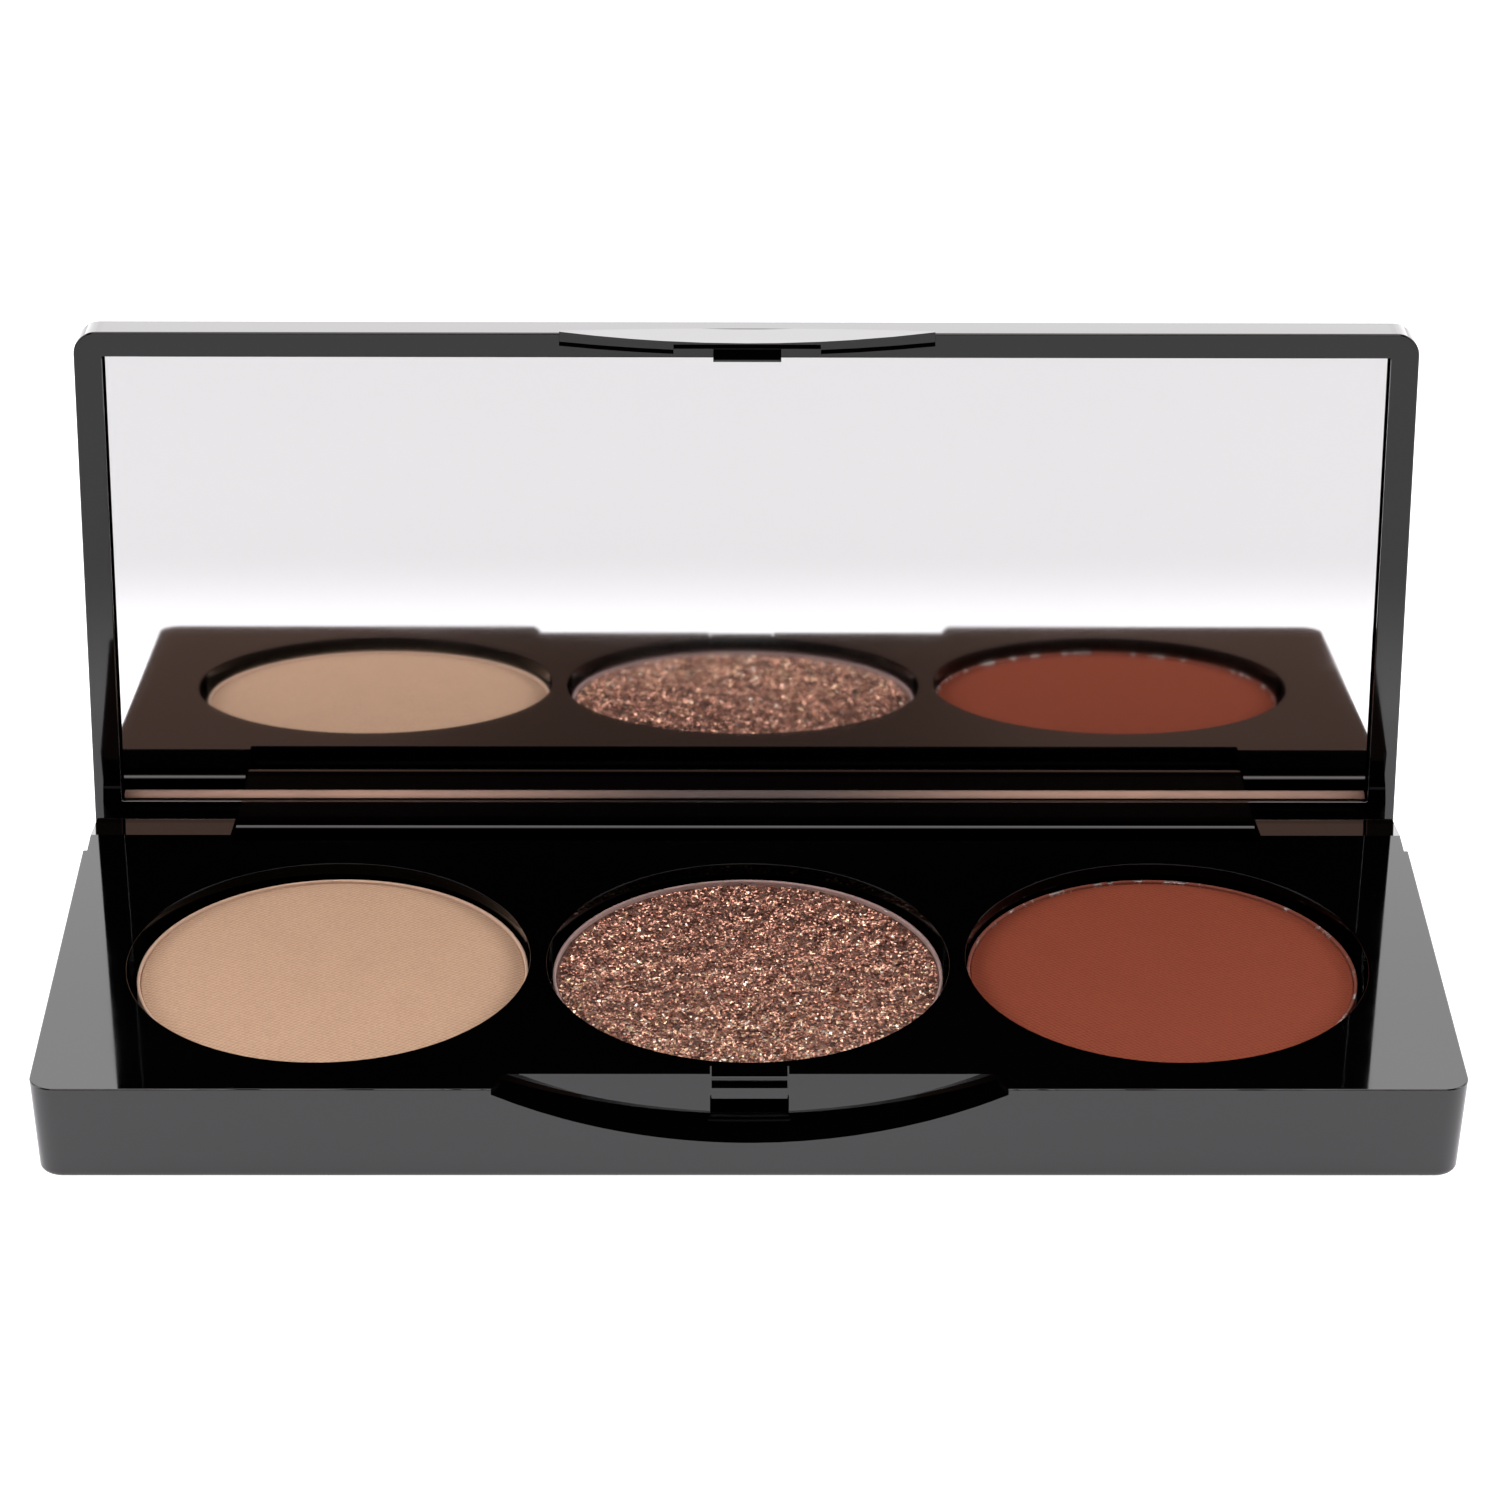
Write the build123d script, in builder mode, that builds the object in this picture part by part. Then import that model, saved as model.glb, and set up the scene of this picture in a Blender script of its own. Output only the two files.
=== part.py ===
"""Slim eyeshadow palette: a black case with three round pans of pressed powder and a hinged mirror lid.

The frame: millimetres, +X to the right, +Y to the hinge at the back, +Z up, with the origin at the centre
of the case's underside. The lid stands open, leaning back against its stop.
"""

import math
import os

from build123d import *

# ---------------------------------------------------------------- driving dimensions
WIDTH = 92.6  # case, left to right
LID_WIDTH = 93.1  # the lid stands a little proud at each side
DEPTH = 40.9  # case, front to back
CASE_HEIGHT = 6.8  # underside to the flat top
WALL_DRAFT = 2.5  # degrees, the case narrows towards its underside
CORNER_RADIUS = 1.6  # upright corners of the case and lid
LID_LEAN = 5.26  # degrees behind the vertical when the lid is open
LID_THICKNESS = 3.4
PARTING_GAP = 0.1  # between the closed lid and the case
EDGE_FILLET = 0.08  # softens the case's sharp edges
LID_EDGE_FILLET = 0.12
MIRROR_THICKNESS = 0.8
MIRROR_BEVEL = 0.12
PAN_DIAMETER = 26.2
PAN_PITCH = 28.1
PAN_HEIGHT = 3.8
# each pan's column, and how far off centre it was glued in its well
PANS = {"left": (-1, 0.25), "middle": (0, 0.0), "right": (1, -0.28)}

# ---------------------------------------------------------------- case
FRONT = -DEPTH / 2
BACK = DEPTH / 2
TOP = CASE_HEIGHT
NARROWING = CASE_HEIGHT * math.tan(math.radians(WALL_DRAFT))
TOP_PLATE = 1.2
SIDE_WALL = 1.9
UNDERSIDE_FILLET = 0.4
HINGE_GAP_HALF = 36.2  # half the width of the gap that takes the lid's tongue
HINGE_GAP_FRONT = FRONT + 33.87
HINGE_WALL = 1.3  # in front of the hinge gap
RELIEF_START = FRONT + 32.4  # small step in each side, beside the hinge
RELIEF_DEPTH = 0.3
HINGE_BLOCK_SLOPE = 11.1  # degrees, the top falls this much towards the round over each hinge pin

# ---------------------------------------------------------------- wells, pans and powders
WELL_DIAMETER = 27.0
WELL_Y = FRONT + 16.95
WELL_WALL = 0.8
WELL_FLOOR = 0.75
COVER_THICKNESS = 1.0
COVER_GAP = 0.05
WELL_BOTTOM = COVER_THICKNESS + COVER_GAP + WELL_FLOOR
GLUE_THICKNESS = 0.2
GLUE_RADIUS = 7
PAN_WALL = 0.22
PAN_BASE_FILLET = 0.6
PAN_RIM_FILLET = 0.08
PAN_BOTTOM = WELL_BOTTOM + GLUE_THICKNESS
PAN_RIM = PAN_BOTTOM + PAN_HEIGHT
FIT = 0.01  # play between pieces pressed together
POWDER_SHOULDER = 0.2  # how far the powder's edge lies below the pan's rim
POWDER_CROWN = 0.2  # how far its middle rises above that edge
POWDER_BEVEL = 0.3

# ---------------------------------------------------------------- thumb notch and catch in the front
# the notch's arcs, from the front face inwards: distance in, half width, drop at the middle
NOTCH_ARCS = ((0.0, 16.6, 4.25), (1.1, 16.1, 3.35), (1.95, 16.0, 2.97))
NOTCH_END = 0.4  # drop of its upright ends
NOTCH_BACK = NOTCH_ARCS[-1][0]
NOTCH_BOTTOM = NOTCH_ARCS[-1][2]
CATCH_SLOT_WIDTH = 5.1
CATCH_SLOT = 1.0  # how far the slot round the catch goes into the notch's back wall
CATCH_GAP = 0.1  # on each side of the catch
# outline of the catch, a ridge over a groove over a nose: distance behind the notch's back wall,
# drop below the top
CATCH_OUTLINE = (
    (0.25, 0.0),
    (0.06, 0.1),
    (0.0, 0.18),
    (0.0, 0.34),
    (0.1, 0.42),
    (0.5, 0.55),
    (0.5, 0.8),
    (0.12, 0.96),
    (0.0, 1.06),
    (0.0, 1.84),
    (0.12, 1.94),
    (0.4, 2.0),
)

# ---------------------------------------------------------------- hinge
AXIS_Y = FRONT + 37.84
AXIS_Z = TOP - 3.57
PIN_RADIUS = 0.75
PIN_INNER_END = 31.6
PIN_OUTER_END = 45.3
PIN_CHAMFER = 0.15
PIN_PLAY = 0.05  # between a pin and the lid's knuckle
KNUCKLE_RADIUS = 2.9
TONGUE_HALF = HINGE_GAP_HALF - 0.15
TONGUE_THICKNESS = 1.8

# ---------------------------------------------------------------- lid
# in the lid's own plane u runs from the hinge axis to the free edge and v to the side that the mirror faces
LEAN = math.radians(LID_LEAN)
LID = Plane(
    origin=(0, AXIS_Y, AXIS_Z),
    x_dir=(1, 0, 0),
    z_dir=(0, -math.cos(LEAN), math.sin(LEAN)),
)
LID_SECTION = Plane(origin=LID.origin, x_dir=LID.y_dir, z_dir=(1, 0, 0))  # its x is u and its y is v
LID_NORMAL = Axis(LID.origin, LID.z_dir)
LID_TIP = AXIS_Y - FRONT
LID_HEEL = -2.45
LID_FACE = -(TOP + PARTING_GAP - AXIS_Z)
LID_BACK = LID_FACE - LID_THICKNESS
LID_BACK_FILLET = 0.8
WINDOW_HALF = 44.6
WINDOW_TOP = LID_TIP - 1.77
WINDOW_BOTTOM = KNUCKLE_RADIUS
MIRROR_RECESS = 1.0
MIRROR_FRONT = LID_FACE - MIRROR_RECESS
MIRROR_BACK = MIRROR_FRONT - MIRROR_THICKNESS
MIRROR_PLAY = 0.05  # round the mirror's edge
ADHESIVE_THICKNESS = 0.15
ADHESIVE_MARGIN = 3.0
WINDOW_FILLET = 0.08
# scoop in the lid's free edge: half width, depth at its ends and depth at its middle
SCOOP_FACE = (13.0, 0.76, 1.58)
SCOOP_BACK = (13.0, -0.77, 0.05)
SCOOP_RUN = 1.1  # how far the scoop runs back from the face
SHELF = (13.0, 0.92, 1.6)  # deeper step at the front of the scoop
SHELF_DEPTH = 0.5
LUG_HALF = 5.1  # the block that carries the hook
LUG_TOP = LID_TIP - 1.12
HOOK_HALF = 2.35
# outline of the hook: distance in from the free edge, distance out from the face
HOOK_OUTLINE = (
    (1.13, -0.1),
    (1.14, 0.02),
    (1.64, 0.92),
    (1.7, 1.05),
    (1.75, 1.02),
    (1.75, 0.75),
    (1.62, 0.4),
)
HOOK_ROOT = 1.6


def write(part, name):
    """Labels a finished piece and writes it as its own file."""
    part.label = name
    export_step(part, f"parts/{name}.step")


def notch_outline(half_width, drop):
    """Edges of one slice of the thumb notch: an arc under the case's top, closed above it."""
    with BuildLine() as outline:
        ThreePointArc((-half_width, TOP - NOTCH_END), (0, TOP - drop), (half_width, TOP - NOTCH_END))
        Polyline(
            (half_width, TOP - NOTCH_END),
            (half_width, TOP + 1),
            (-half_width, TOP + 1),
            (-half_width, TOP - NOTCH_END),
        )
    return outline.edges()


def scoop_outline(half_width, end_depth, middle_depth):
    """Edges of one slice of the scoop in the lid's free edge, closed beyond that edge."""
    with BuildLine() as outline:
        ThreePointArc(
            (-half_width, LID_TIP - end_depth),
            (0, LID_TIP - middle_depth),
            (half_width, LID_TIP - end_depth),
        )
        Polyline(
            (half_width, LID_TIP - end_depth),
            (half_width, LID_TIP + 1),
            (-half_width, LID_TIP + 1),
            (-half_width, LID_TIP - end_depth),
        )
    return outline.edges()


os.makedirs("parts", exist_ok=True)

# ---------------------------------------------------------------- hollow under the case's top plate
HOLLOW_FRONT = FRONT + NARROWING + SIDE_WALL
HOLLOW_BACK = HINGE_GAP_FRONT - HINGE_WALL
HOLLOW_Y = (HOLLOW_FRONT + HOLLOW_BACK) / 2
HOLLOW_WIDTH = WIDTH - 2 * (NARROWING + SIDE_WALL)
HOLLOW_DEPTH = HOLLOW_BACK - HOLLOW_FRONT
NOTCH_BLOCK_DEPTH = NOTCH_BACK + CATCH_SLOT + 0.7

with BuildPart() as hollow:
    with BuildSketch():
        with Locations((0, HOLLOW_Y)):
            RectangleRounded(HOLLOW_WIDTH, HOLLOW_DEPTH, CORNER_RADIUS)
    extrude(amount=CASE_HEIGHT - TOP_PLATE)
    # stays solid round each well and behind the notch
    with BuildSketch(Plane.XY.offset(COVER_THICKNESS + COVER_GAP)):
        with Locations((0, WELL_Y)):
            with GridLocations(PAN_PITCH, 0, len(PANS), 1):
                Circle(WELL_DIAMETER / 2 + WELL_WALL)
        with Locations((0, FRONT)):
            Rectangle(2 * NOTCH_ARCS[0][1] + 3, 2 * NOTCH_BLOCK_DEPTH)
    extrude(amount=CASE_HEIGHT, mode=Mode.SUBTRACT)

# ---------------------------------------------------------------- case
SLOPE = math.tan(math.radians(HINGE_BLOCK_SLOPE))
ROUND_Y = AXIS_Y + KNUCKLE_RADIUS * math.sin(math.radians(HINGE_BLOCK_SLOPE))
ROUND_Z = AXIS_Z + KNUCKLE_RADIUS * math.cos(math.radians(HINGE_BLOCK_SLOPE))

with BuildPart() as case_body:
    with BuildSketch():
        RectangleRounded(WIDTH - 2 * NARROWING, DEPTH - 2 * NARROWING, CORNER_RADIUS)
    with BuildSketch(Plane.XY.offset(TOP)):
        RectangleRounded(WIDTH, DEPTH, CORNER_RADIUS)
    loft(ruled=True)
    fillet(case_body.faces().sort_by(Axis.Z)[0].edges(), UNDERSIDE_FILLET)
    fillet(case_body.faces().sort_by(Axis.Z)[-1].edges(), EDGE_FILLET)
    # the top falls away round the hinge
    with BuildSketch(Plane.YZ):
        with BuildLine():
            CenterArc((AXIS_Y, AXIS_Z), KNUCKLE_RADIUS, start_angle=0, arc_size=90 - HINGE_BLOCK_SLOPE)
            Polyline(
                (ROUND_Y, ROUND_Z),
                (ROUND_Y - (TOP - ROUND_Z) / SLOPE, TOP),
                (ROUND_Y, TOP + 1),
                (BACK + 1, TOP + 1),
                (BACK + 1, AXIS_Z),
                (AXIS_Y + KNUCKLE_RADIUS, AXIS_Z),
            )
        make_face()
    extrude(amount=WIDTH, both=True, mode=Mode.SUBTRACT)
    # small step in each side beside the hinge
    with BuildSketch():
        with Locations((0, (RELIEF_START + BACK + 1) / 2)):
            with GridLocations(WIDTH + 2 - 2 * RELIEF_DEPTH, 0, 2, 1):
                Rectangle(2, BACK + 1 - RELIEF_START)
    extrude(amount=TOP + 1, mode=Mode.SUBTRACT)
    # gap for the lid's tongue, open at the back and underneath
    with BuildSketch():
        with Locations((0, (HINGE_GAP_FRONT + BACK + 1) / 2)):
            Rectangle(2 * HINGE_GAP_HALF, BACK + 1 - HINGE_GAP_FRONT)
    extrude(amount=TOP + 1, mode=Mode.SUBTRACT)
    add(hollow.part, mode=Mode.SUBTRACT)
    # wells, with softened edges
    with BuildSketch(Plane.XY.offset(WELL_BOTTOM)):
        with Locations((0, WELL_Y)):
            with GridLocations(PAN_PITCH, 0, len(PANS), 1):
                Circle(WELL_DIAMETER / 2)
    extrude(amount=TOP, mode=Mode.SUBTRACT)
    fillet(
        case_body.edges()
        .filter_by(GeomType.CIRCLE)
        .filter_by(lambda edge: abs(edge.radius - WELL_DIAMETER / 2) < FIT)
        .group_by(Axis.Z)[-1],
        EDGE_FILLET,
    )
    # thumb notch, deepest at the front face, in two bands
    for outer, inner in zip(NOTCH_ARCS, NOTCH_ARCS[1:]):
        with BuildSketch(Plane.XZ.offset(-FRONT - outer[0])):
            make_face(notch_outline(outer[1], outer[2]))
        with BuildSketch(Plane.XZ.offset(-FRONT - inner[0])):
            make_face(notch_outline(inner[1], inner[2]))
        loft(ruled=True, mode=Mode.SUBTRACT)
    # slot in the notch's back wall, with the catch standing in it
    with BuildSketch(Plane.XY.offset(TOP - NOTCH_BOTTOM)):
        with Locations((0, FRONT + NOTCH_BACK)):
            Rectangle(CATCH_SLOT_WIDTH, 2 * CATCH_SLOT)
    extrude(amount=CASE_HEIGHT, mode=Mode.SUBTRACT)
    with BuildSketch(Plane.YZ):
        with BuildLine():
            nose = [(FRONT + NOTCH_BACK + back, TOP - drop) for back, drop in CATCH_OUTLINE]
            root = FRONT + NOTCH_BACK + CATCH_SLOT + FIT
            Polyline(nose + [(root, nose[-1][1]), (root, nose[0][1])], close=True)
        make_face()
    extrude(amount=CATCH_SLOT_WIDTH / 2 - CATCH_GAP, both=True)
    # bores for the hinge pins
    with BuildSketch(Plane.YZ.offset(-WIDTH / 2)):
        with Locations((AXIS_Y, AXIS_Z)):
            Circle(PIN_RADIUS + FIT)
    extrude(amount=WIDTH, mode=Mode.SUBTRACT)
write(case_body.part, "case_body")

# ---------------------------------------------------------------- underside cover and its blank label
LABEL_WIDTH = 60
LABEL_DEPTH = 18
LABEL_CORNER = 1.5
LABEL_THICKNESS = 0.1
LABEL_RECESS = 0.2
LABEL_PLAY = 0.2

with BuildPart() as underside_cover:
    with BuildSketch():
        with Locations((0, HOLLOW_Y)):
            RectangleRounded(HOLLOW_WIDTH - 2 * COVER_GAP, HOLLOW_DEPTH - 2 * COVER_GAP, CORNER_RADIUS)
    extrude(amount=COVER_THICKNESS)
    with BuildSketch():
        with Locations((0, HOLLOW_Y)):
            RectangleRounded(
                LABEL_WIDTH + 2 * LABEL_PLAY,
                LABEL_DEPTH + 2 * LABEL_PLAY,
                LABEL_CORNER + LABEL_PLAY,
            )
    extrude(amount=LABEL_RECESS, mode=Mode.SUBTRACT)
write(underside_cover.part, "underside_cover")

with BuildPart() as underside_label:
    with BuildSketch(Plane.XY.offset(LABEL_RECESS - LABEL_THICKNESS)):
        with Locations((0, HOLLOW_Y)):
            RectangleRounded(LABEL_WIDTH, LABEL_DEPTH, LABEL_CORNER)
    extrude(amount=LABEL_THICKNESS)
write(underside_label.part, "underside_label")

# ---------------------------------------------------------------- pans, their glue and their powders
POWDER_RADIUS = PAN_DIAMETER / 2 - PAN_WALL - FIT
POWDER_BOTTOM = PAN_BOTTOM + PAN_WALL + FIT
POWDER_EDGE = PAN_RIM - POWDER_SHOULDER
DOME_HALF = POWDER_RADIUS - POWDER_BEVEL
DOME_RADIUS = (DOME_HALF**2 + POWDER_CROWN**2) / (2 * POWDER_CROWN)
DOME_CENTRE = POWDER_EDGE + POWDER_CROWN - DOME_RADIUS

for name, (column, shift) in PANS.items():
    centre = (column * PAN_PITCH + shift, WELL_Y)

    with BuildPart() as glue:
        with BuildSketch(Plane.XY.offset(WELL_BOTTOM)):
            with Locations(centre):
                Circle(GLUE_RADIUS)
        extrude(amount=GLUE_THICKNESS)
    write(glue.part, f"glue_dot_{name}")

    with BuildPart() as pan:
        with BuildSketch(Plane.XY.offset(PAN_BOTTOM)):
            with Locations(centre):
                Circle(PAN_DIAMETER / 2)
        extrude(amount=PAN_HEIGHT)
        fillet(pan.faces().sort_by(Axis.Z)[0].edges(), PAN_BASE_FILLET)
        with BuildSketch(Plane.XY.offset(PAN_BOTTOM + PAN_WALL)):
            with Locations(centre):
                Circle(PAN_DIAMETER / 2 - PAN_WALL)
        extrude(amount=PAN_HEIGHT, mode=Mode.SUBTRACT)
        fillet(pan.faces().sort_by(Axis.Z)[-1].edges(), PAN_RIM_FILLET)
    write(pan.part, f"pan_{name}")

    with BuildPart() as powder:
        with BuildSketch(Plane.XZ):
            with BuildLine():
                Polyline(
                    (0, POWDER_EDGE + POWDER_CROWN),
                    (0, POWDER_BOTTOM),
                    (POWDER_RADIUS, POWDER_BOTTOM),
                    (POWDER_RADIUS, POWDER_EDGE - POWDER_BEVEL / 2),
                    (DOME_HALF, POWDER_EDGE),
                )
                ThreePointArc(
                    (DOME_HALF, POWDER_EDGE),
                    (DOME_HALF / 2, DOME_CENTRE + math.sqrt(DOME_RADIUS**2 - (DOME_HALF / 2) ** 2)),
                    (0, POWDER_EDGE + POWDER_CROWN),
                )
            make_face()
        revolve(axis=Axis.Z)
    write(powder.part.moved(Location((centre[0], centre[1], 0))), f"powder_{name}")

# ---------------------------------------------------------------- hinge pins
for name, side in (("left", -1), ("right", 1)):
    with BuildPart() as hinge_pin:
        with BuildSketch(Plane.YZ.offset(side * PIN_INNER_END)):
            with Locations((AXIS_Y, AXIS_Z)):
                Circle(PIN_RADIUS)
        extrude(amount=side * (PIN_OUTER_END - PIN_INNER_END))
        chamfer(hinge_pin.edges().filter_by(GeomType.CIRCLE), PIN_CHAMFER)
    write(hinge_pin.part, f"hinge_pin_{name}")

# ---------------------------------------------------------------- lid with its rim, tongue and hook
WINDOW_U = (WINDOW_TOP + WINDOW_BOTTOM) / 2
WINDOW_LENGTH = WINDOW_TOP - WINDOW_BOTTOM

with BuildPart() as lid_shell:
    with BuildSketch(LID.offset(LID_BACK)):
        with Locations((0, (LID_TIP + LID_HEEL) / 2)):
            RectangleRounded(LID_WIDTH, LID_TIP - LID_HEEL, CORNER_RADIUS)
    extrude(amount=LID_THICKNESS)
    fillet(lid_shell.faces().sort_by(LID_NORMAL)[0].edges(), LID_BACK_FILLET)
    fillet(lid_shell.faces().sort_by(LID_NORMAL)[-1].edges(), LID_EDGE_FILLET)
    # scoop in the free edge, fading towards the lid's back
    with BuildSketch(LID.offset(LID_FACE + FIT)):
        make_face(scoop_outline(*SCOOP_FACE))
    with BuildSketch(LID.offset(LID_FACE - SCOOP_RUN)):
        make_face(scoop_outline(*SCOOP_BACK))
    loft(ruled=True, mode=Mode.SUBTRACT)
    # shelf along its front, with a block left standing for the hook
    with BuildSketch(LID.offset(LID_FACE)):
        make_face(scoop_outline(*SHELF))
    extrude(amount=-SHELF_DEPTH, mode=Mode.SUBTRACT)
    with BuildSketch(LID.offset(LID_FACE)):
        with Locations((0, (LUG_TOP + WINDOW_TOP) / 2)):
            Rectangle(2 * LUG_HALF, LUG_TOP - WINDOW_TOP)
    extrude(amount=-SHELF_DEPTH)
    # pocket for the mirror and its adhesive
    with BuildSketch(LID.offset(LID_FACE)):
        with Locations((0, WINDOW_U)):
            RectangleRounded(2 * WINDOW_HALF, WINDOW_LENGTH, LID_EDGE_FILLET)
    extrude(amount=MIRROR_BACK - ADHESIVE_THICKNESS - LID_FACE, mode=Mode.SUBTRACT)
    fillet(
        lid_shell.edges()
        .filter_by(Axis(LID.origin, LID.y_dir))
        .filter_by(lambda edge: abs(abs(edge.center().X) - WINDOW_HALF) < FIT)
        .sort_by(LID_NORMAL)[-2:],
        WINDOW_FILLET,
    )
    # tongue to the knuckle round the hinge axis
    with BuildSketch(LID_SECTION):
        with Locations((KNUCKLE_RADIUS - TONGUE_THICKNESS / 2, (LID_FACE - LID_EDGE_FILLET) / 2)):
            Rectangle(TONGUE_THICKNESS, LID_EDGE_FILLET - LID_FACE)
        Circle(KNUCKLE_RADIUS)
    extrude(amount=TONGUE_HALF, both=True)
    # hook below the free edge
    with BuildSketch(LID_SECTION):
        with BuildLine():
            tip = [(LID_TIP - inward, LID_FACE + out) for inward, out in HOOK_OUTLINE]
            root = LID_TIP - HOOK_ROOT
            Polyline(tip + [(root, LID_FACE - SHELF_DEPTH / 2)], close=True)
        make_face()
    extrude(amount=HOOK_HALF, both=True)
    # blind bores for the hinge pins
    for side in (-1, 1):
        with BuildSketch(Plane.YZ.offset(side * (PIN_INNER_END - 2 * PIN_PLAY))):
            with Locations((AXIS_Y, AXIS_Z)):
                Circle(PIN_RADIUS + PIN_PLAY)
        extrude(amount=side * WIDTH / 2, mode=Mode.SUBTRACT)
write(lid_shell.part, "lid_shell")

# ---------------------------------------------------------------- mirror and its adhesive
with BuildPart() as mirror:
    with BuildSketch(LID.offset(MIRROR_BACK)):
        with Locations((0, WINDOW_U)):
            Rectangle(2 * (WINDOW_HALF - MIRROR_PLAY), WINDOW_LENGTH - 2 * MIRROR_PLAY)
    extrude(amount=MIRROR_THICKNESS)
    chamfer(mirror.faces().sort_by(LID_NORMAL)[-1].edges(), MIRROR_BEVEL, MIRROR_BEVEL / 2)
write(mirror.part, "mirror")

with BuildPart() as mirror_adhesive:
    with BuildSketch(LID.offset(MIRROR_BACK - ADHESIVE_THICKNESS)):
        with Locations((0, WINDOW_U)):
            Rectangle(2 * (WINDOW_HALF - ADHESIVE_MARGIN), WINDOW_LENGTH - 2 * ADHESIVE_MARGIN)
    extrude(amount=ADHESIVE_THICKNESS)
write(mirror_adhesive.part, "mirror_adhesive")
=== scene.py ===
"""Eyeshadow palette with three pressed powders and a mirror lid: finishes, powder surfaces and studio.

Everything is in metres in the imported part's frame: +X to the right, +Y to the hinge, +Z up.
"""

import math

import bpy
import numpy as np
from bpy.props import FloatProperty, FloatVectorProperty, IntProperty, PointerProperty
from mathutils import Matrix, Vector


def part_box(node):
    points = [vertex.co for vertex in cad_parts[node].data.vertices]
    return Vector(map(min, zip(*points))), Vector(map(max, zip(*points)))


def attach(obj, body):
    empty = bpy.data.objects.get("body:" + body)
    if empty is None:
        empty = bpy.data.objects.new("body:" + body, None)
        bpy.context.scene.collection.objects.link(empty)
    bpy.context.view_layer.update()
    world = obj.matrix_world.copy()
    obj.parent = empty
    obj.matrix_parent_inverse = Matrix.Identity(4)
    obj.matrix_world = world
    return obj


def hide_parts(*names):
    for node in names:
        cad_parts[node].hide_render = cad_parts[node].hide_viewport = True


bl_info = {
    "name": "Eyeshadow palette",
    "version": (1, 0, 0),
    "blender": (4, 5, 0),
    "location": "View3D > Sidebar > Palette",
    "description": "Finishes a slim palette of pressed powders and sets up its studio",
    "category": "Object",
}

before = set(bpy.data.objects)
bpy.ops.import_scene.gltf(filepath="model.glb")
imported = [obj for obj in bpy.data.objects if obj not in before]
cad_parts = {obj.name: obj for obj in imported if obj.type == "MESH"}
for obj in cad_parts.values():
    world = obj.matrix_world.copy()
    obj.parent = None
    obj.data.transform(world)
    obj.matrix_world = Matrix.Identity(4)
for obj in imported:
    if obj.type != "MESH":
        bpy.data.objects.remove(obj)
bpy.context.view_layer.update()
MM = 0.001
TAU = 2 * math.pi
# the hinge axis, and the barrel round it that both halves share
HINGE_Y = 17.39 * MM
HINGE_Z = 3.23 * MM
BARREL_RADIUS = 2.9 * MM
LEAN = math.radians(5.26)  # the open lid leans this far back
# the row of three wells in the case
WELL_Y = -3.5 * MM
WELL_RADIUS = 13.5 * MM
WELL_PITCH = 28.1 * MM
# the lid's window and the plastic frame at each side of it
WINDOW_HALF = 44.6 * MM
FRAME_WIDTH = 1.95 * MM
# the bead along the mirror: its height up the lid, its face and its two half widths
BEAD_UP = 2.95 * MM
BEAD_OUT = -4.66 * MM
BEAD_TALL = 0.34 * MM
BEAD_DEEP = 0.56 * MM
BEAD_HALF = 44.45 * MM
FLOOR_RADIUS = 4.0
FLOOR_SINK = 0.0002


# ---------------------------------------------------------------- shader helpers
class Wire:
    """One output socket of a finish. Arithmetic on it adds Math nodes and gives a new Wire."""

    def __init__(self, finish, socket):
        self.finish = finish
        self.socket = socket

    def math(self, operation, *terms):
        """A Math node with these terms, in order."""
        return self.finish.node("ShaderNodeMath", {"operation": operation}, dict(enumerate(terms)))

    def __add__(self, other):
        return self.math("ADD", self, other)

    def __sub__(self, other):
        return self.math("SUBTRACT", self, other)

    def __rsub__(self, other):
        return self.math("SUBTRACT", other, self)

    def __mul__(self, other):
        return self.math("MULTIPLY", self, other)

    def __pow__(self, other):
        return self.math("POWER", self, other)

    __radd__ = __add__
    __rmul__ = __mul__

    def ramp(self, low, high, to_low=0.0, to_high=1.0):
        """Goes smoothly from to_low to to_high as this value goes from low to high."""
        settings = {"interpolation_type": "SMOOTHSTEP", "clamp": True}
        values = {"Value": self, "From Min": low, "From Max": high, "To Min": to_low, "To Max": to_high}
        return self.finish.node("ShaderNodeMapRange", settings, values)

    def out(self, name):
        """Another output of the node that this one comes from."""
        return Wire(self.finish, self.socket.node.outputs[name])


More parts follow.
